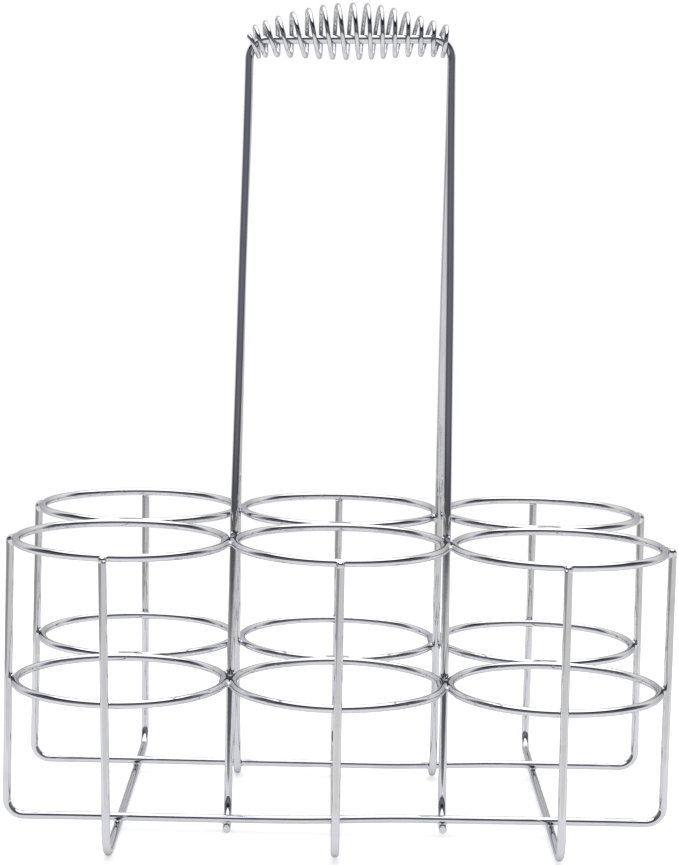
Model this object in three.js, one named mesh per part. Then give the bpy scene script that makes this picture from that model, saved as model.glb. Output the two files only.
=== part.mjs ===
import * as THREE from "three";

// Chromed wire carrier for six bottles, in millimetres. X runs along the three columns of rings, Y from
// the front row to the back row, Z up. The origin is on the surface it stands on, under its middle.

// The wire and the bottle rings
const WIRE = 3.2;
const PITCH = 85;
const CONTACT_GAP = 0.2;
const RING_LEVELS = { lower: 60, upper: 115.5 };
const COLUMNS = { left: -1, middle: 0, right: 1 };
const ROWS = { front: -1, back: 1 };

// The bent wires that carry the rings
const CROSS_BEND = 10.5;
const LONG_BEND = 6.5;
const LEFT_FRONT_END_LEAN = -3.2;
const CROSS_END_PAST_RING = 1.3;
const LONG_END_PAST_RING = 0.2;

// The handle: two hoops of wire that lean together, and the barrel spring that grips their tops
const HOOP_TOP = 311;
const HOOP_TOP_HALF = 40;
const HOOP_CORNER = 7.5;
const HOOP_MEET = 296;
const HOOP_MEET_SLOPE = 0.25;
const HOOP_LEAN_EASE = 0.25;
const HOOP_FOOT_BEND = 6.5;
const HOOP_FOOT_PAST_WIRE = 3;
const HANDLE_TILT = 0.025;
const SPRING_WIRE = 1.8;
const SPRING_HALF = 38.8;
const SPRING_TURNS = 15.6;
const SPRING_MIDDLE_TURN = -0.05;
const SPRING_CLOSING = 0.075;
const SPRING_CLOSING_POWER = 9;
const SPRING_END_RADIUS = 5.6;
const SPRING_SWELL = 4.8;
const SPRING_SWELL_POWER = 1.35;
const SPRING_ARCH = 3.2;
const SPRING_ARCH_POWER = 0.8;
const SPRING_END_DROP = 1.4;

// Facets
const WIRE_SIDES = 8;
const RING_STEPS = 36;
const BEND_STEPS = 5;
const LEAN_STEPS = 8;
const SPRING_SIDES = 6;
const SPRING_STEPS_A_TURN = 16;
const SMALL_TURN = 0.001;

// Places that follow from the sizes above
const HALF = PITCH / 2;
const CROSS_Z = WIRE / 2;
const LONG_Z = CROSS_Z + WIRE + CONTACT_GAP;
const RING_RADIUS = (PITCH - WIRE - CONTACT_GAP) / 2;
const OUTSIDE = RING_RADIUS + WIRE + CONTACT_GAP;
const CROSS_HALF = HALF + OUTSIDE;
const LONG_HALF = PITCH + OUTSIDE;
const CROSS_END_Z = RING_LEVELS.upper + CROSS_END_PAST_RING;
const LONG_END_Z = RING_LEVELS.upper + LONG_END_PAST_RING;
const LEG_GAP = (WIRE + CONTACT_GAP) / 2;

const chrome = new THREE.MeshStandardMaterial({ color: 0xb4b5ba, roughness: 0.08, metalness: 1 });
const springChrome = new THREE.MeshStandardMaterial({ color: 0xb9bac0, roughness: 0.1, metalness: 1 });

// A many-sided wire section whose flats lie one radius from its centre, one of them facing straight down
function sectionPoints(diameter, sides) {
  const reach = diameter / 2 / Math.cos(Math.PI / sides);
  const points = [];
  for (let i = 0; i < sides; i += 1) {
    const angle = ((i + 0.5) / sides) * 2 * Math.PI;
    points.push(new THREE.Vector2(reach * Math.cos(angle), reach * Math.sin(angle)));
  }
  return points;
}

// A wire's centre line through given stations: the sweep puts one section on each of them
class WireLine extends THREE.Curve {
  constructor(stations) {
    super();
    this.stations = stations;
  }

  getPoint(t, target = new THREE.Vector3()) {
    const place = THREE.MathUtils.clamp(t, 0, 1) * (this.stations.length - 1);
    const index = Math.min(Math.floor(place), this.stations.length - 2);
    return target.lerpVectors(this.stations[index], this.stations[index + 1], place - index);
  }

  getPointAt(u, target) {
    return this.getPoint(u, target);
  }

  getTangentAt(u, target) {
    return this.getTangent(u, target);
  }
}

function sweptWire(stations, diameter, sides) {
  return new THREE.ExtrudeGeometry(new THREE.Shape(sectionPoints(diameter, sides)), {
    steps: stations.length - 1,
    extrudePath: new WireLine(stations),
  });
}

// One point that a wire runs through, and the radius it is bent to there
function corner(x, y, z, bend = 0) {
  return { at: new THREE.Vector3(x, y, z), bend };
}

// The stations of a wire through its corners, with an arc in place of each bent one
function bentStations(corners) {
  const stations = [];
  corners.forEach(({ at, bend }, i) => {
    if (bend === 0) {
      stations.push(at);
      return;
    }
    const back = corners[i - 1].at.clone().sub(at).normalize();
    const ahead = corners[i + 1].at.clone().sub(at).normalize();
    const half = back.angleTo(ahead) / 2;
    const inward = back.clone().add(ahead).normalize();
    const centre = at.clone().addScaledVector(inward, bend / Math.sin(half));
    const start = at.clone().addScaledVector(back, bend / Math.tan(half)).sub(centre);
    const axis = ahead.clone().cross(back).normalize();
    for (let step = 0; step <= BEND_STEPS; step += 1) {
      const spoke = start.clone().applyAxisAngle(axis, ((Math.PI - 2 * half) * step) / BEND_STEPS);
      stations.push(spoke.add(centre));
    }
  });
  return stations;
}

function addPiece(group, name, geometry, material) {
  const mesh = new THREE.Mesh(geometry, material);
  mesh.name = name;
  group.add(mesh);
  return mesh;
}

// A bottle ring: a closed hoop of wire, lying flat
function bottleRing() {
  const profile = sectionPoints(WIRE, WIRE_SIDES).map((p) => new THREE.Vector2(RING_RADIUS + p.x, p.y));
  profile.push(profile[0].clone());
  return new THREE.LatheGeometry(profile, RING_STEPS).rotateX(Math.PI / 2);
}

function buildRings(carrier) {
  for (const [level, height] of Object.entries(RING_LEVELS)) {
    for (const [row, side] of Object.entries(ROWS)) {
      for (const [column, place] of Object.entries(COLUMNS)) {
        const ring = addPiece(carrier, `ring_${level}_${row}_${column}`, bottleRing(), chrome);
        ring.position.set(place * PITCH, side * HALF, height);
      }
    }
  }
}

// A cross wire: a wide U under one column, up the outside of its front ring and of its back ring
function crossWire(x, frontLean) {
  const corners = [
    corner(x + frontLean, -CROSS_HALF, CROSS_END_Z),
    corner(x, -CROSS_HALF, CROSS_Z, CROSS_BEND),
    corner(x, CROSS_HALF, CROSS_Z, CROSS_BEND),
    corner(x, CROSS_HALF, CROSS_END_Z),
  ];
  return sweptWire(bentStations(corners), WIRE, WIRE_SIDES);
}

// A long wire: a wide U under one row of rings, lying across the cross wires
function longWire(y) {
  const corners = [
    corner(-LONG_HALF, y, LONG_END_Z),
    corner(-LONG_HALF, y, LONG_Z, LONG_BEND),
    corner(LONG_HALF, y, LONG_Z, LONG_BEND),
    corner(LONG_HALF, y, LONG_END_Z),
  ];
  return sweptWire(bentStations(corners), WIRE, WIRE_SIDES);
}

function buildFrame(carrier) {
  for (const [column, place] of Object.entries(COLUMNS)) {
    const lean = column === "left" ? LEFT_FRONT_END_LEAN : 0;
    addPiece(carrier, `cross_wire_${column}`, crossWire(place * PITCH, lean), chrome);
  }
  for (const [row, side] of Object.entries(ROWS)) {
    addPiece(carrier, `long_wire_${row}`, longWire(side * HALF), chrome);
  }
}

// How far a leg stands out sideways at a height: straight down to the lower rings, a little closer at the top
function legX(height) {
  const down = (HOOP_TOP - Math.max(height, RING_LEVELS.lower)) / (HOOP_TOP - RING_LEVELS.lower);
  return THREE.MathUtils.lerp(HOOP_TOP_HALF, HALF, down);
}

// How close a leg comes to the middle plane where it lies in the cusp between two rings of its row
function cuspY(height) {
  const touching = RING_RADIUS + WIRE + 2 * CONTACT_GAP;
  return HALF - Math.sqrt(touching ** 2 - legX(height) ** 2);
}

// The height of the hoops' bars, which are a little higher on the right
function gripHeight(x) {
  return HOOP_TOP + HANDLE_TILT * x;
}

// One leg of a hoop from its foot up to its top corner, with x and y the sides it stands on: the foot is
// bent outward under the long wire, the leg stands in the cusps of both ring levels, then it leans in
function legCorners(x, y) {
  const { lower, upper } = RING_LEVELS;
  const leaveY = cuspY(upper);
  const ease = (HOOP_MEET - upper) * HOOP_LEAN_EASE;
  const lean = new THREE.CubicBezierCurve3(
    new THREE.Vector3(x * legX(upper), y * leaveY, upper),
    new THREE.Vector3(x * legX(upper + ease), y * leaveY, upper + ease),
    new THREE.Vector3(x * legX(HOOP_MEET - ease), y * (LEG_GAP + HOOP_MEET_SLOPE * ease), HOOP_MEET - ease),
    new THREE.Vector3(x * legX(HOOP_MEET), y * LEG_GAP, HOOP_MEET),
  );
  return [
    corner(x * HALF, y * (HALF + HOOP_FOOT_PAST_WIRE), CROSS_Z),
    corner(x * HALF, y * cuspY(lower), CROSS_Z, HOOP_FOOT_BEND),
    corner(x * HALF, y * cuspY(lower), lower),
    ...lean.getPoints(LEAN_STEPS).map((at) => ({ at, bend: 0 })),
    corner(x * HOOP_TOP_HALF, y * LEG_GAP, gripHeight(x * HOOP_TOP_HALF), HOOP_CORNER),
  ];
}

// A handle hoop: two legs and the bar between their top corners
function handleHoop(y) {
  const corners = [...legCorners(-1, y), ...legCorners(1, y).reverse()];
  return sweptWire(bentStations(corners), WIRE, WIRE_SIDES);
}

// How far a swelling form has grown at a place along the spring: nothing at its ends, 1 in its middle
function swell(x, power) {
  return Math.max(Math.cos((Math.PI / 2) * (x / SPRING_HALF)), 0) ** power;
}

// The spring's axis, with turn running from -1 at its left end to 1 at its right end. The last turns close
// up, and the axis comes down from above the hoops' bars in the middle to a little below them at the ends.
function springAxis(turn) {
  const closing = SPRING_CLOSING * (turn - turn ** SPRING_CLOSING_POWER);
  const x = SPRING_HALF * (turn + closing);
  const lift = (SPRING_ARCH + SPRING_END_DROP) * swell(x, SPRING_ARCH_POWER) - SPRING_END_DROP;
  return new THREE.Vector3(x - HANDLE_TILT * lift, 0, gripHeight(x) + lift);
}

// The grip: a right-handed barrel spring wound round both bars
function gripSpring() {
  const steps = Math.round(SPRING_TURNS * SPRING_STEPS_A_TURN);
  const front = new THREE.Vector3(0, -1, 0);
  const stations = [];
  for (let step = 0; step <= steps; step += 1) {
    const turn = (2 * step) / steps - 1;
    const at = springAxis(turn);
    const ahead = springAxis(turn + SMALL_TURN).sub(springAxis(turn - SMALL_TURN)).normalize();
    const up = front.clone().cross(ahead);
    const angle = 2 * Math.PI * (SPRING_MIDDLE_TURN + (SPRING_TURNS / 2) * turn);
    const radius = SPRING_END_RADIUS + SPRING_SWELL * swell(at.x, SPRING_SWELL_POWER);
    at.addScaledVector(up, radius * Math.cos(angle)).addScaledVector(front, radius * Math.sin(angle));
    stations.push(at);
  }
  return sweptWire(stations, SPRING_WIRE, SPRING_SIDES);
}

function buildHandle(carrier) {
  for (const [row, side] of Object.entries(ROWS)) {
    addPiece(carrier, `handle_hoop_${row}`, handleHoop(side), chrome);
  }
  addPiece(carrier, "grip_spring", gripSpring(), springChrome);
}

const carrier = new THREE.Group();
carrier.name = "wire_bottle_carrier";
buildRings(carrier);
buildFrame(carrier);
buildHandle(carrier);

export default carrier;
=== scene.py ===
import math
from itertools import combinations

import bpy
import numpy as np
from mathutils import Matrix, Vector


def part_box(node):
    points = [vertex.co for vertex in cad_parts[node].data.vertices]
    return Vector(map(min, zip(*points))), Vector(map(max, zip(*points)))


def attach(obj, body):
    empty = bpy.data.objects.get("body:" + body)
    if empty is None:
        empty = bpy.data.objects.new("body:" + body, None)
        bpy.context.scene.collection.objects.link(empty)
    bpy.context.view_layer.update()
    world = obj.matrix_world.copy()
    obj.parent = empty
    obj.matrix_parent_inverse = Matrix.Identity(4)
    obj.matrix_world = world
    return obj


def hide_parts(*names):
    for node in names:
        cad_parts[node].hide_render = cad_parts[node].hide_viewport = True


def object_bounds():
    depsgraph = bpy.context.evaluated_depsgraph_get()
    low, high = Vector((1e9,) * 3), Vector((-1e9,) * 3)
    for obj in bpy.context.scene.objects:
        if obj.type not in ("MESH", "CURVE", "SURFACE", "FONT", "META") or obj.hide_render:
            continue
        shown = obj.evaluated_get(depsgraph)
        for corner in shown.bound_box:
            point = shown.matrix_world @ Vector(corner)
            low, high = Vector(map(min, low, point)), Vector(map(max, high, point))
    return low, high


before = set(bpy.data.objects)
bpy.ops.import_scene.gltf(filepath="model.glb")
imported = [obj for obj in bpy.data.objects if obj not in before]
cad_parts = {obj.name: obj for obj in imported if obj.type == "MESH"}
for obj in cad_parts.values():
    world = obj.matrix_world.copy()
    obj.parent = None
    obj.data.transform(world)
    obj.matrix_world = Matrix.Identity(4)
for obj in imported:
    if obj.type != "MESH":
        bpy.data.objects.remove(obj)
cad_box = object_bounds()


# The camera: the carrier is seen from its front and a little above, with a long lens. The photograph is
# 679 by 865 pixels, and the lens is set for its long, upright side.
LENS = 0.09575
FILM_HEIGHT = 0.036
MILLIMETRES = 1000
CAMERA_PLACE = Vector((-0.00674, -0.92426, 0.26658))
CAMERA_YAW = 0.00606
CAMERA_PITCH = -0.12124
CAMERA_ROLL = 0.02165

view = Vector((
    math.sin(CAMERA_YAW) * math.cos(CAMERA_PITCH),
    math.cos(CAMERA_YAW) * math.cos(CAMERA_PITCH),
    math.sin(CAMERA_PITCH),
))
level = Vector((math.cos(CAMERA_YAW), -math.sin(CAMERA_YAW), 0))
upright = level.cross(view)
right = level * math.cos(CAMERA_ROLL) + upright * math.sin(CAMERA_ROLL)
camera_data = bpy.data.cameras.new("camera")
camera_data.lens = LENS * MILLIMETRES
camera_data.sensor_fit = "VERTICAL"
camera_data.sensor_height = FILM_HEIGHT * MILLIMETRES
camera = bpy.data.objects.new("camera", camera_data)
camera.matrix_world = (
    Matrix.Translation(CAMERA_PLACE) @ Matrix((right, right.cross(view), -view)).transposed().to_4x4()
)
bpy.context.scene.collection.objects.link(camera)
bpy.context.scene.camera = camera


# The bottle rings: twelve hoops of round steel wire, each bent on a drum, cut and butt-welded, then
# plated with the rest. They stand in a square grid, at two levels.
first_low, first_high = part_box("ring_lower_front_middle")
WIRE = first_high.z - first_low.z
WIRE_SIDES = 24
WIRE_STEP = 0.0013
WANDER = 0.00007
WANDER_WAVES = (1, 2, 3, 5)
WANDER_LENGTH = 0.03
WANDER_PACE = 0.37
WANDER_SEED = 11
RING_STEPS = 168
BUTT_WELD_RISE = 0.00009
BUTT_WELD_HALF_LENGTH = 0.0009
CHROME_COLOUR = (0.61, 0.61, 0.62, 1)
CHROME_SHADE = (0.54, 0.54, 0.555, 1)
EDGE_TINT = (0.56, 0.56, 0.585, 1)
CLOUD = {"Scale": 70, "Detail": 4, "Roughness": 0.6}
GRAIN = {"Scale": 900, "Detail": 3, "Roughness": 0.55}
WAVE = {"Scale": 160, "Detail": 1}
SMUDGE_EDGES = (0.5, 0.72)
SMUDGE_SHADE = 0.7
GRAIN_SHADE = 0.3
GRAIN_ROUGHNESS = 0.02
WAVE_HEIGHT = 0.8
GRAIN_HEIGHT = 0.2


class Look:
    """An output of a node in a material or in the sky. Sums with it add Math nodes."""

    def __init__(self, tree, socket=None):
        self.tree = tree
        self.socket = socket

    def node(self, kind, settings=None, inputs=None, output=0):
        """One output of a new node, with its settings and the values or links of its inputs."""
        made = self.tree.nodes.new(kind)
        for name, value in (settings or {}).items():
            setattr(made, name, value)
        for name, value in (inputs or {}).items():
            if isinstance(value, Look):
                self.tree.links.new(value.socket, made.inputs[name])
            else:
                made.inputs[name].default_value = value
        return Look(self.tree, made.outputs[output])

    def math(self, operation, first, second):
        return self.node("ShaderNodeMath", {"operation": operation}, {0: first, 1: second})

    def __add__(self, other):
        return self.math("ADD", self, other)

    __radd__ = __add__

    def __sub__(self, other):
        return self.math("SUBTRACT", self, other)

    def __rsub__(self, other):
        return self.math("SUBTRACT", other, self)

    def __mul__(self, other):
        return self.math("MULTIPLY", self, other)

    __rmul__ = __mul__

    def between(self, start, end):
        """0 up to the start, 1 from the end on, and a smooth change between them."""
        return self.node(
            "ShaderNodeMapRange",
            {"interpolation_type": "SMOOTHSTEP"},
            {"Value": self, "From Min": start, "From Max": end},
        )

    def mix(self, first, second, data_type="RGBA"):
        """From first to second as this output goes from 0 to 1."""
        made = self.tree.nodes.new("ShaderNodeMix")
        made.data_type = data_type
        sockets = {s.name: s for s in made.inputs if s.enabled}
        self.tree.links.new(self.socket, sockets["Factor"])
        for name, value in (("A", first), ("B", second)):
            if isinstance(value, Look):
                self.tree.links.new(value.socket, sockets[name])
            else:
                sockets[name].default_value = value
        return Look(self.tree, next(s for s in made.outputs if s.enabled))


def chrome(name, colour, shade, roughness, dullness, ripple):
    """Bright chrome plate on drawn wire: nearly a mirror, a little uneven and here and there dulled."""
    material = bpy.data.materials.new(name)
    material.use_nodes = True
    material.node_tree.nodes.clear()
    look = Look(material.node_tree)
    place = look.node("ShaderNodeTexCoord", output="Object")
    cloud = look.node("ShaderNodeTexNoise", inputs={"Vector": place, **CLOUD})
    grain = look.node("ShaderNodeTexNoise", inputs={"Vector": place, **GRAIN})
    wave = look.node("ShaderNodeTexNoise", inputs={"Vector": place, **WAVE})
    smudge = cloud.between(*SMUDGE_EDGES)
    tone = grain * GRAIN_SHADE + smudge * SMUDGE_SHADE
    relief = wave * WAVE_HEIGHT + grain * GRAIN_HEIGHT
    bump = look.node("ShaderNodeBump", inputs={"Strength": 1, "Distance": ripple, "Height": relief})
    plate = look.node("ShaderNodeBsdfPrincipled", inputs={
        "Base Color": tone.mix(colour, shade),
        "Metallic": 1,
        "Specular Tint": EDGE_TINT,
        "Roughness": roughness + smudge * dullness + grain * GRAIN_ROUGHNESS,
        "Normal": bump,
    })
    out = material.node_tree.nodes.new("ShaderNodeOutputMaterial")
    material.node_tree.links.new(plate.socket, out.inputs["Surface"])
    return material


wire_chrome = chrome(
    "bright_chrome", CHROME_COLOUR, CHROME_SHADE, roughness=0.04, dullness=0.05, ripple=0.000012
)
random = np.random.default_rng(WANDER_SEED)
wires = {}


def unit(vectors):
    return vectors / np.linalg.norm(vectors, axis=-1, keepdims=True)


def distances(path):
    """How far along a path each of its points is."""
    steps = np.linalg.norm(np.diff(path, axis=0), axis=1)
    return np.concatenate([[0], np.cumsum(steps)])


def wandered(line, closed):
    """The line of a real wire, which strays a little from the drawing in long soft waves."""
    if closed:
        along = np.linspace(0, 2 * math.pi, len(line), endpoint=False)
    else:
        along = distances(line) / WANDER_LENGTH
    moved = line.copy()
    for wave in WANDER_WAVES:
        reach = random.normal(0, WANDER / wave**0.5, 3)
        phase = random.uniform(0, 2 * math.pi, 3)
        turn = wave * along if closed else wave * along * WANDER_PACE
        moved += reach * np.sin(turn[:, None] + phase)
    return np.clip(moved, np.array(cad_box[0]) + WIRE / 2, np.array(cad_box[1]) - WIRE / 2)


def swept_mesh(name, line, radii, closed, sides=WIRE_SIDES):
    """A round wire of varying thickness along a line, smooth, with flat faces on its cut ends."""
    ahead = np.roll(line, -1, axis=0) - np.roll(line, 1, axis=0)
    if not closed:
        ahead[0] = line[1] - line[0]
        ahead[-1] = line[-1] - line[-2]
    ahead = unit(ahead)
    across = np.zeros(3)
    across[np.argmin(np.abs(ahead[0]))] = 1
    turn = np.linspace(0, 2 * math.pi, sides, endpoint=False)
    points = []
    for place, radius, direction in zip(line, radii, ahead):
        across = unit(across - direction * (across @ direction))
        beside = np.cross(direction, across)
        ring = np.outer(np.cos(turn), across) + np.outer(np.sin(turn), beside)
        points.append(place + radius * ring)
    count = len(line)
    faces = []
    for i in range(count if closed else count - 1):
        here = i * sides
        there = ((i + 1) % count) * sides
        for j in range(sides):
            k = (j + 1) % sides
            faces.append((here + j, here + k, there + k, there + j))
    if not closed:
        faces.append(tuple(range(sides))[::-1])
        faces.append(tuple(range((count - 1) * sides, count * sides)))
    mesh = bpy.data.meshes.new(name)
    mesh.from_pydata(np.concatenate(points).tolist(), [], faces)
    mesh.shade_smooth()
    if not closed:
        mesh.polygons[-1].use_smooth = False
        mesh.polygons[-2].use_smooth = False
    return mesh


def put_in(node, mesh, material):
    """A finished piece, in place of its plain solid where it has one."""
    mesh.materials.append(material)
    piece = bpy.data.objects.new(mesh.name, mesh)
    bpy.context.scene.collection.objects.link(piece)
    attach(piece, "root")
    if node:
        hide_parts(node)


def ring_line(node):
    low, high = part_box(node)
    centre = np.array((low + high) / 2)
    radius = (high.x - low.x - WIRE) / 2
    turn = np.linspace(0, 2 * math.pi, RING_STEPS, endpoint=False)
    spokes = np.stack([np.cos(turn), np.sin(turn), np.zeros(RING_STEPS)], axis=1)
    return centre + radius * spokes


for node in sorted(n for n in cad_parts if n.startswith("ring_")):
    line = wandered(ring_line(node), closed=True)
    weld_at = random.integers(RING_STEPS)
    from_weld = np.linalg.norm(line - line[weld_at], axis=1)
    radii = WIRE / 2 + BUTT_WELD_RISE * np.exp(-((from_weld / BUTT_WELD_HALF_LENGTH) ** 2))
    wires[node] = line
    put_in(node, swept_mesh(f"chromed_{node}", line, radii, closed=True), wire_chrome)


# The cross wires: three wide U bends, one under each column of rings, welded up the outside of its front
# and back rings. They are the lowest wires. Their ends are dressed round, each upright leans a little to
# one side, and the base is slightly twisted and rises about a millimetre towards its front right.
CROSS_BEND = 0.0105
CROSS_BACK_BEND = 0.0080
CROSS_BACK_DROP = 0.0013
CROSS_STRAY = {
    "cross_wire_left": ((-0.0007, -0.0001), (0, -0.0011)),
    "cross_wire_middle": ((0, -0.0002), (0.0001, -0.0002)),
    "cross_wire_right": ((0, -0.0010), (0.0008, 0.0012)),
}
ARC_STEPS = 24
END_STEPS = 8
BASE_LIFT = 0.00135
BASE_LIFT_WIDTH = 0.055
BASE_TWIST = 0.47
BASE_HEIGHTS = (0.020, 0.055)


def respaced(path, step, short=0):
    """Even points along a path, about a step apart, that stop short of both its ends."""
    along = distances(path)
    even = np.linspace(short, along[-1] - short, round(along[-1] / step))
    return np.stack([np.interp(even, along, path[:, i]) for i in range(3)], axis=1)


def bent_line(corners):
    """Even points along a wire through its corners, each a place and the radius it is bent to."""
    points = []
    for i, (place, bend) in enumerate(corners):
        place = np.array(place, float)
        if not bend:
            points.append(place)
            continue
        back = unit(np.array(corners[i - 1][0], float) - place)
        ahead = unit(np.array(corners[i + 1][0], float) - place)
        half = math.acos(back @ ahead) / 2
        centre = place + unit(back + ahead) * bend / math.sin(half)
        start = place + back * bend / math.tan(half) - centre
        end = place + ahead * bend / math.tan(half) - centre
        sweep = math.pi - 2 * half
        for turn in np.linspace(0, sweep, ARC_STEPS):
            spoke = start * math.sin(sweep - turn) + end * math.sin(turn)
            points.append(centre + spoke / math.sin(sweep))
    return respaced(np.array(points), WIRE_STEP)


def eased(places, knots, values):
    """Values at their knots, with a smooth change from each knot to the next."""
    whole = np.interp(places, knots, np.arange(len(knots)))
    step = np.minimum(whole.astype(int), len(knots) - 2)
    part = whole - step
    values = np.array(values)
    return values[step] + (values[step + 1] - values[step]) * part**2 * (3 - 2 * part)


def settled(line):
    """The line with the base raised a little towards its front right, and unchanged higher up."""
    towards_corner = line[:, 0] - BASE_TWIST * line[:, 1]
    lift = eased(towards_corner, (0, BASE_LIFT_WIDTH), (0, BASE_LIFT))
    moved = line.copy()
    moved[:, 2] += lift * eased(line[:, 2], BASE_HEIGHTS, (1, 0))
    return moved


def strayed(line, low, high, front, back):
    """The line with its uprights leant sideways: each pair is the shift at the foot and at the top."""
    up = (line[:, 2] - low.z) / (high.z - low.z)
    across = (line[:, 1] - low.y) / (high.y - low.y)
    at_front = front[0] + (front[1] - front[0]) * up
    at_back = back[0] + (back[1] - back[0]) * up
    moved = line.copy()
    moved[:, 0] += at_front + (at_back - at_front) * across
    return moved


def cut_wire(name, line, thickness, edge, sides=WIRE_SIDES):
    """A wire with both ends rounded off over the length of the edge."""
    turns = np.linspace(0, math.pi / 2, END_STEPS + 1)[:-1]
    inset = edge * (np.sin(turns) - 1)
    rims = thickness / 2 - edge + edge * np.cos(turns)
    first = line[0] + np.outer(inset, unit(line[0] - line[1]))
    last = line[-1] + np.outer(inset, unit(line[-1] - line[-2]))
    stations = np.concatenate([first[::-1], line[1:-1], last])
    radii = np.concatenate([rims[::-1], np.full(len(line) - 2, thickness / 2), rims])
    return swept_mesh(name, stations, radii, closed=False, sides=sides)


def cross_line(node):
    low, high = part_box(node)
    x = high.x - WIRE / 2
    front_top = low.x + WIRE / 2
    front = low.y + WIRE / 2
    back = high.y - WIRE / 2
    bottom = low.z + WIRE / 2
    return bent_line([
        ((front_top, front, high.z), 0),
        ((x, front, bottom), CROSS_BEND),
        ((x, back, bottom), CROSS_BACK_BEND),
        ((x, back, high.z - CROSS_BACK_DROP), 0),
    ])


for node in ("cross_wire_left", "cross_wire_middle", "cross_wire_right"):
    line = strayed(cross_line(node), *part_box(node), *CROSS_STRAY[node])
    wires[node] = wandered(settled(line), closed=False)
    mesh = cut_wire(f"chromed_{node}", wires[node], WIRE, WIRE / 2)
    put_in(node, mesh, wire_chrome)


# The long wires: two wide U bends, one under each row of rings, laid across the cross wires and welded
# to them, with their ends up the outside of the left and right rings.
LONG_BEND = 0.0065
LONG_END_RISE = 0.0008
LONG_STRAY = {
    "long_wire_front": (0.0008, -0.0002),
    "long_wire_back": (0.0014, -0.0013),
}


def long_line(node):
    low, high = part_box(node)
    y = (low.y + high.y) / 2
    left = low.x + WIRE / 2
    right_end = high.x - WIRE / 2
    bottom = low.z + WIRE / 2
    top = high.z + LONG_END_RISE
    left_lean, right_lean = LONG_STRAY[node]
    return bent_line([
        ((left + left_lean, y, top), 0),
        ((left, y, bottom), LONG_BEND),
        ((right_end, y, bottom), LONG_BEND),
        ((right_end + right_lean, y, top), 0),
    ])


for node in ("long_wire_front", "long_wire_back"):
    wires[node] = wandered(settled(long_line(node)), closed=False)
    mesh = cut_wire(f"chromed_{node}", wires[node], WIRE, WIRE / 2)
    put_in(node, mesh, wire_chrome)


# The handle hoops: two tall loops of the same wire. Their feet are bent outward under the long wires,
# the legs are welded into the cusps between the rings, and above them the two hoops lean together. The
# legs of the rear hoop are slightly bowed.
HOOP_TOP = 0.311
HOOP_TOP_HALF = 0.04
HOOP_CORNER = 0.0075
HOOP_MEET = 0.302
HOOP_MEET_SLOPE = 0.17
HOOP_LEAN_EASE = 0.25
HOOP_FOOT_BEND = 0.0108
HOOP_FOOT_EDGE = 0.0003
HOOP_FOOT_SPREAD = 0.0040
HANDLE_TILT = 0.025
CONTACT_GAP = 0.0002
LEAN_STEPS = 60
REAR_LEG_HEIGHTS = (0, 0.06, 0.14, 0.21, 0.29)
REAR_LEFT_STRAY = (0.0009, 0, -0.0013, -0.0011, 0)
REAR_RIGHT_STRAY = (-0.0004, -0.0007, -0.0004, -0.0004, 0)

hoop_low, hoop_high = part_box("handle_hoop_front")
lower_level = (first_low.z + first_high.z) / 2
upper_low, upper_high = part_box("ring_upper_front_middle")
upper_level = (upper_low.z + upper_high.z) / 2
ring_radius = (first_high.x - first_low.x - WIRE) / 2
row = -(first_low.y + first_high.y) / 2
leg_foot = hoop_high.x - WIRE / 2
foot_end = -hoop_low.y
foot_level = hoop_low.z + WIRE / 2


def grip_height(x):
    return HOOP_TOP + HANDLE_TILT * x


def leg_x(height):
    """Straight down to the lower rings, and a little closer together at the top."""
    down = (HOOP_TOP - max(height, lower_level)) / (HOOP_TOP - lower_level)
    return HOOP_TOP_HALF + (leg_foot - HOOP_TOP_HALF) * down


def cusp_y(height):
    """Where a leg lies against two rings of its row."""
    touching = ring_radius + WIRE + 2 * CONTACT_GAP
    return row - math.sqrt(touching**2 - leg_x(height) ** 2)


def leg(side, face):
    """The corners of one leg from foot to top, on the left or right side of the front or back hoop."""
    ease = (HOOP_MEET - upper_level) * HOOP_LEAN_EASE
    beside = (WIRE + CONTACT_GAP) / 2
    pulls = np.array([
        (leg_x(upper_level), cusp_y(upper_level), upper_level),
        (leg_x(upper_level + ease), cusp_y(upper_level), upper_level + ease),
        (leg_x(HOOP_MEET - ease), beside + HOOP_MEET_SLOPE * ease, HOOP_MEET - ease),
        (leg_x(HOOP_MEET), beside, HOOP_MEET),
    ])
    part = np.linspace(0, 1, LEAN_STEPS)[:, None]
    weights = ((1 - part) ** 3, 3 * part * (1 - part) ** 2, 3 * part**2 * (1 - part), part**3)
    lean = sum(weight * pull for weight, pull in zip(weights, pulls)) * (side, face, 1)
    x = side * leg_foot
    return [
        ((x, face * foot_end, foot_level), 0),
        ((x, face * (cusp_y(lower_level) + HOOP_FOOT_SPREAD), foot_level), HOOP_FOOT_BEND),
        ((x, face * cusp_y(lower_level), lower_level), 0),
        *((place, 0) for place in lean),
        ((side * HOOP_TOP_HALF, face * beside, grip_height(side * HOOP_TOP_HALF)), HOOP_CORNER),
    ]


for node, face in (("handle_hoop_front", -1), ("handle_hoop_back", 1)):
    line = bent_line([*leg(-1, face), *leg(1, face)[::-1]])
    if face > 0:
        for shifts, legs in ((REAR_LEFT_STRAY, line[:, 0] < 0), (REAR_RIGHT_STRAY, line[:, 0] > 0)):
            line[legs, 0] += eased(line[legs, 2], REAR_LEG_HEIGHTS, shifts)
    wires[node] = wandered(settled(line), closed=False)
    mesh = cut_wire(f"chromed_{node}", wires[node], WIRE, HOOP_FOOT_EDGE)
    put_in(node, mesh, wire_chrome)


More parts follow.
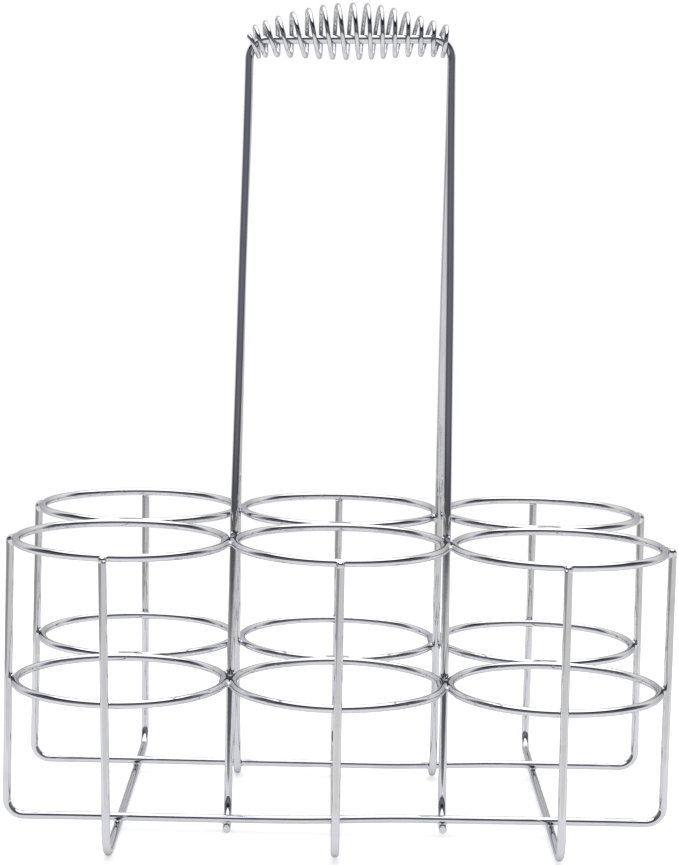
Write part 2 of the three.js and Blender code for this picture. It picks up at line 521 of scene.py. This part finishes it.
# The grip: a barrel spring of thinner hard wire, wound round both bars before the hoops were closed,
# so that it is trapped between their corners. It is plated on its own, and a few turns have shifted.
SPRING_WIRE = 0.0018
SPRING_HALF = 0.0388
SPRING_TURNS = 15.6
SPRING_MIDDLE_TURN = -0.05
SPRING_CLOSING = 0.075
SPRING_CLOSING_POWER = 9
SPRING_END_RADIUS = 0.0056
SPRING_SWELL = 0.0048
SPRING_SWELL_POWER = 1.35
SPRING_ARCH = 0.0032
SPRING_ARCH_POWER = 0.8
SPRING_END_DROP = 0.0014
SPRING_PLACES = (-0.0388, -0.0372, -0.0335, -0.0250, -0.0150, 0.004, 0.022, 0.032, 0.0388)
SPRING_STRAY = (0, -0.0004, -0.0012, -0.0014, -0.0002, 0.0005, -0.0005, -0.0007, 0)
SPRING_SIDES = 16
SPRING_STEPS_A_TURN = 60
SPRING_END_EDGE = 0.0002
SPRING_COLOUR = (0.61, 0.61, 0.625, 1)
SPRING_SHADE = (0.55, 0.55, 0.57, 1)
spring_chrome = chrome(
    "spring_chrome", SPRING_COLOUR, SPRING_SHADE, roughness=0.1, dullness=0.05, ripple=0.000004
)


def swell(x, power):
    return np.maximum(np.cos(math.pi / 2 * x / SPRING_HALF), 0) ** power


def spring_axis(turn):
    closing = SPRING_CLOSING * (turn - turn**SPRING_CLOSING_POWER)
    x = SPRING_HALF * (turn + closing)
    lift = (SPRING_ARCH + SPRING_END_DROP) * swell(x, SPRING_ARCH_POWER) - SPRING_END_DROP
    return np.stack([x - HANDLE_TILT * lift, np.zeros_like(x), grip_height(x) + lift], axis=1)


def spring_line():
    turn = np.linspace(-1, 1, round(SPRING_TURNS * SPRING_STEPS_A_TURN))
    nearby = 0.001
    axis = spring_axis(turn)
    ahead = unit(spring_axis(turn + nearby) - spring_axis(turn - nearby))
    to_front = np.array((0, -1, 0))
    to_top = np.cross(to_front, ahead)
    angle = 2 * math.pi * (SPRING_MIDDLE_TURN + SPRING_TURNS / 2 * turn)
    radius = SPRING_END_RADIUS + SPRING_SWELL * swell(axis[:, 0], SPRING_SWELL_POWER)
    up = (radius * np.cos(angle))[:, None]
    out = (radius * np.sin(angle))[:, None]
    line = axis + up * to_top + out * to_front
    line[:, 0] += eased(axis[:, 0], SPRING_PLACES, SPRING_STRAY)
    return line


mesh = cut_wire("chromed_grip_spring", spring_line(), SPRING_WIRE, SPRING_END_EDGE, SPRING_SIDES)
put_in("grip_spring", mesh, spring_chrome)


# The welds: wherever two wires cross or touch, they were pressed together and spot-welded, which leaves
# a small smooth fillet of steel in the groove between them, plated like the wires. A weld's size is how
# far it reaches along its wires and how wide a groove it fills.
WELD_SIZES = {
    "ring_welds": (0.0070, 0.0028),
    "frame_welds": (0.0042, 0.0016),
    "handle_welds": (0.0044, 0.0017),
}
TOP_END_WELD = (0.0045, 0.0028)
WELD_CELL = 0.0003
WELD_TAPER = 0.00022
WELD_PROUD = 0.00004
WELD_TOUCH = WIRE + 0.0011
WELD_APART = 4 * WIRE
WELD_GROUP = 0.0055
WELD_STEP = 0.0005
WELD_ROUNDS = 3
LEAST_SLOPE = 0.3
FAR_AWAY = 1.0
HOOP_FOOT_SHORT = 0.0009
WELD_COLOUR = (0.60, 0.60, 0.61, 1)
WELD_SHADE = (0.50, 0.50, 0.52, 1)
weld_chrome = chrome(
    "weld_chrome", WELD_COLOUR, WELD_SHADE, roughness=0.06, dullness=0.08, ripple=0.000012
)


def weld_kind(names):
    """Which wires a weld belongs to: the handle's, the rings' own, or those of the frame round them."""
    if any(name.startswith("handle_hoop") for name in names):
        return "handle_welds"
    return "ring_welds" if all(name.startswith("ring_") for name in names) else "frame_welds"


def weld_size(middle, names):
    """A weld's reach and groove, which are larger where a long wire ends at an upper ring."""
    kind = weld_kind(names)
    long_wire = any(name.startswith("long_wire") for name in names)
    if kind == "frame_welds" and long_wire and middle[2] > upper_level - WIRE:
        return TOP_END_WELD
    return WELD_SIZES[kind]


def welded_part(name, middle, reach):
    """The stretch of a wire that a weld covers, with points close together, short of the wire's ends."""
    path = wires[name]
    short = WIRE / 2
    if name.startswith("ring_"):
        path = np.vstack([path, path[:1]])
        short = 0
    elif name.startswith("handle_hoop"):
        short += HOOP_FOOT_SHORT
    points = respaced(path, WELD_STEP, short)
    return points[np.linalg.norm(points - middle, axis=1) < reach + 2 * WELD_STEP]


def touches(first, second):
    """The places where two wires touch, each midway between them."""
    low = np.maximum(first.min(axis=0), second.min(axis=0)) - WELD_TOUCH
    high = np.minimum(first.max(axis=0), second.max(axis=0)) + WELD_TOUCH
    first = first[((first >= low) & (first <= high)).all(axis=1)]
    second = second[((second >= low) & (second <= high)).all(axis=1)]
    found = []
    while len(first) and len(second):
        gaps = np.linalg.norm(first[:, None] - second[None], axis=2)
        i, j = np.unravel_index(gaps.argmin(), gaps.shape)
        if gaps[i, j] > WELD_TOUCH:
            break
        middle = (first[i] + second[j]) / 2
        found.append(middle)
        first = first[np.linalg.norm(first - middle, axis=1) > WELD_APART]
    return found


def weld_places():
    """Each weld's middle, with the names of the wires that meet in it."""
    frame_wires = [name for name in wires if not name.startswith("handle_hoop")]
    pairs = list(combinations(frame_wires, 2))
    for hoop in ("handle_hoop_front", "handle_hoop_back"):
        pairs += [(hoop, name) for name in frame_wires]
    groups = []
    for first, second in pairs:
        for place in touches(wires[first], wires[second]):
            for group in groups:
                if np.linalg.norm(group[0] - place) < WELD_GROUP:
                    group[1] |= {first, second}
                    group[0] = (group[0] + place) / 2
                    break
            else:
                groups.append([place, {first, second}])
    return groups


def weld_field(middle, lines, reach, fillet):
    """How far a point lies outside the wires near a weld, with the groove between them filled."""

    def field(points):
        total = np.full(len(points), FAR_AWAY)
        for line in lines:
            gap = np.full(len(points), FAR_AWAY)
            for start, end in zip(line, line[1:]):
                run = end - start
                part = np.clip((points - start) @ run / (run @ run), 0, 1)
                gap = np.minimum(gap, np.linalg.norm(points - start - part[:, None] * run, axis=1))
            away = np.linalg.norm(points - middle, axis=1)
            gap -= WIRE / 2 + WELD_PROUD - WELD_TAPER * (away / reach) ** 2
            share = np.maximum(fillet - np.abs(total - gap), 0) / fillet
            total = np.minimum(total, gap) - share**2 * fillet / 4
        return total

    return field


def surface_of(field, low, high):
    """The closed surface where a field is nought: a point in each cell it crosses, joined by quads."""
    axes = [np.arange(low[i], high[i] + WELD_CELL, WELD_CELL) for i in range(3)]
    grid = np.stack(np.meshgrid(*axes, indexing="ij"), axis=-1)
    inside = (field(grid.reshape(-1, 3)) < 0).reshape(grid.shape[:3])
    wide, deep, tall = [n - 1 for n in inside.shape]
    corners = [inside[i:i + wide, j:j + deep, k:k + tall] for i, j, k in np.ndindex(2, 2, 2)]
    count = sum(corner.astype(int) for corner in corners)
    crossed = (count > 0) & (count < len(corners))
    number = np.cumsum(crossed).reshape(crossed.shape) - 1
    points = grid[:-1, :-1, :-1][crossed] + WELD_CELL / 2
    nudge = WELD_CELL / 20
    for _ in range(WELD_ROUNDS):
        here = field(points)
        slope = np.stack([(field(points + nudge * np.eye(3)[i]) - here) / nudge for i in range(3)], axis=1)
        steep = np.maximum((slope**2).sum(axis=1), LEAST_SLOPE)
        points = points - slope * (here / steep)[:, None]
    quads = []
    for axis in range(3):
        one = np.eye(3, dtype=int)[(axis + 1) % 3]
        two = np.eye(3, dtype=int)[(axis + 2) % 3]
        change = inside != np.roll(inside, -1, axis)
        spots = np.argwhere(change[1:-1, 1:-1, 1:-1]) + 1
        around = [number[tuple((spots - move).T)] for move in (one + two, two, 0 * one, one)]
        quad = np.stack(around, axis=1)
        outward = inside[tuple(spots.T)]
        quads.append(np.where(outward[:, None], quad, quad[:, ::-1]))
    return points, np.concatenate(quads)


def weld_mesh(name, groups):
    """One mesh of all the welds of a kind."""
    points = []
    faces = []
    start = 0
    for middle, names in groups:
        reach, fillet = weld_size(middle, names)
        lines = [welded_part(wire, middle, reach) for wire in sorted(names)]
        lines = [line for line in lines if len(line) > 1]
        low = np.min([line.min(axis=0) for line in lines], axis=0) - WIRE
        high = np.max([line.max(axis=0) for line in lines], axis=0) + WIRE
        spots, quads = surface_of(weld_field(middle, lines, reach, fillet), low, high)
        points.append(np.clip(spots, cad_box[0], cad_box[1]))
        faces.append(quads + start)
        start += len(spots)
    mesh = bpy.data.meshes.new(name)
    mesh.from_pydata(np.concatenate(points).tolist(), [], np.concatenate(faces).tolist())
    mesh.shade_smooth()
    return mesh


welds = weld_places()
for kind in WELD_SIZES:
    group = [weld for weld in welds if weld_kind(weld[1]) == kind]
    put_in(None, weld_mesh(kind, group), weld_chrome)


# The surface it stands on: a sheet of matt white card on a table, brightly lit, that ends a little way
# in front of the carrier.
FLOOR_HALF_WIDTH = 0.4
FLOOR_FRONT = -0.16
FLOOR_BACK = 0.6
FLOOR_COLOUR = (0.5, 0.5, 0.5, 1)
FLOOR_ROUGHNESS = 0.6
FLOOR_GLOW = 0.57
WHITE = (1, 1, 1, 1)
floor_mesh = bpy.data.meshes.new("floor")
floor_corners = [
    (-FLOOR_HALF_WIDTH, FLOOR_FRONT, 0),
    (FLOOR_HALF_WIDTH, FLOOR_FRONT, 0),
    (FLOOR_HALF_WIDTH, FLOOR_BACK, 0),
    (-FLOOR_HALF_WIDTH, FLOOR_BACK, 0),
]
floor_mesh.from_pydata(floor_corners, [], [(0, 1, 2, 3)])
floor_material = bpy.data.materials.new("white_card")
floor_material.use_nodes = True
floor_shader = floor_material.node_tree.nodes["Principled BSDF"]
floor_shader.inputs["Base Color"].default_value = FLOOR_COLOUR
floor_shader.inputs["Roughness"].default_value = FLOOR_ROUGHNESS
floor_shader.inputs["Emission Color"].default_value = WHITE
floor_shader.inputs["Emission Strength"].default_value = FLOOR_GLOW
floor_mesh.materials.append(floor_material)
floor = bpy.data.objects.new("floor", floor_mesh)
bpy.context.scene.collection.objects.link(floor)


# The studio: a white backdrop behind the carrier, bright soft light from overhead, white below the table
# with some shade on the left, and a dim, bluish room on the camera's side, which draws the dark lines in
# the chrome. Each pair is the height or direction where a change starts and where it is complete.
BEHIND_FROM = (0.15, 0.5)
BACKDROP_LOW = 0.98
BACKDROP_HIGH = 1.25
BACKDROP_RISE = (0.1, 0.6)
ROOM_DARK = 0.03
ROOM_LOW = 0.085
ROOM_GLOW = 0.07
ROOM_GLOW_RISE = (-0.03, 0.12)
ROOM_GLOW_END = (0.36, 0.48)
ROOM_FRONT = 0.4
ROOM_FRONT_FROM = (-0.5, -1)
ROOM_TINT = (0.91, 0.925, 1.04, 1)
ROOM_COOL = (0.85, 0.88, 1.10, 1)
ROOM_COOL_RISE = (0.1, 0.3)
ROOM_COOL_END = (0.42, 0.5)
TABLE_EDGE = (-0.155, -0.115)
BELOW = 0.9
BELOW_NEAR = 0.1
BELOW_NEAR_FROM = (-0.2, -0.27)
BELOW_STEEP = 0.15
BELOW_STEEP_FROM = (-0.25, -0.65)
LEFT_SHADE = 0.46
LEFT_SHADE_EDGE = (-0.155, -0.135)
LEFT_SHADE_SLOPE = 0.1
OVERHEAD = 2.3
OVERHEAD_FROM = (0.72, 0.84)
SEEN_BRIGHTNESS = 1.0
world = bpy.data.worlds.new("studio")
bpy.context.scene.world = world
world.use_nodes = True
world.node_tree.nodes.clear()
sky = Look(world.node_tree)
direction = sky.node("ShaderNodeTexCoord", output="Generated")
aside, backward, height = (
    sky.node("ShaderNodeSeparateXYZ", inputs={0: direction}, output=axis) for axis in "XYZ"
)
behind = backward.between(*BEHIND_FROM)
above_table = height.between(*TABLE_EDGE)
backdrop = BACKDROP_LOW + height.between(*BACKDROP_RISE) * (BACKDROP_HIGH - BACKDROP_LOW)
glow = (1 - height.between(*ROOM_GLOW_END)) * (ROOM_LOW + height.between(*ROOM_GLOW_RISE) * ROOM_GLOW)
glow = glow * (1 + backward.between(*ROOM_FRONT_FROM) * ROOM_FRONT)
near = height.between(*BELOW_NEAR_FROM) * BELOW_NEAR
steep = height.between(*BELOW_STEEP_FROM) * BELOW_STEEP
left_shade = (height - aside * LEFT_SHADE_SLOPE).between(*LEFT_SHADE_EDGE) * LEFT_SHADE
below = BELOW + near + steep - left_shade
room = above_table * (ROOM_DARK + glow) + (1 - above_table) * below
overhead = height.between(*OVERHEAD_FROM) * OVERHEAD
strength = room + behind * (backdrop - room) + overhead
cool = height.between(*ROOM_COOL_RISE) * (1 - height.between(*ROOM_COOL_END))
tint = (above_table * (1 - behind)).mix(WHITE, cool.mix(ROOM_TINT, ROOM_COOL))

# Seen directly, all of the studio is plain white.
seen = sky.node("ShaderNodeLightPath", output="Is Camera Ray")
background = sky.node("ShaderNodeBackground", inputs={
    "Color": seen.mix(tint, WHITE),
    "Strength": seen.mix(strength, SEEN_BRIGHTNESS, "FLOAT"),
})
world_out = world.node_tree.nodes.new("ShaderNodeOutputWorld")
world.node_tree.links.new(background.socket, world_out.inputs["Surface"])
bpy.context.scene.view_settings.view_transform = "Standard"
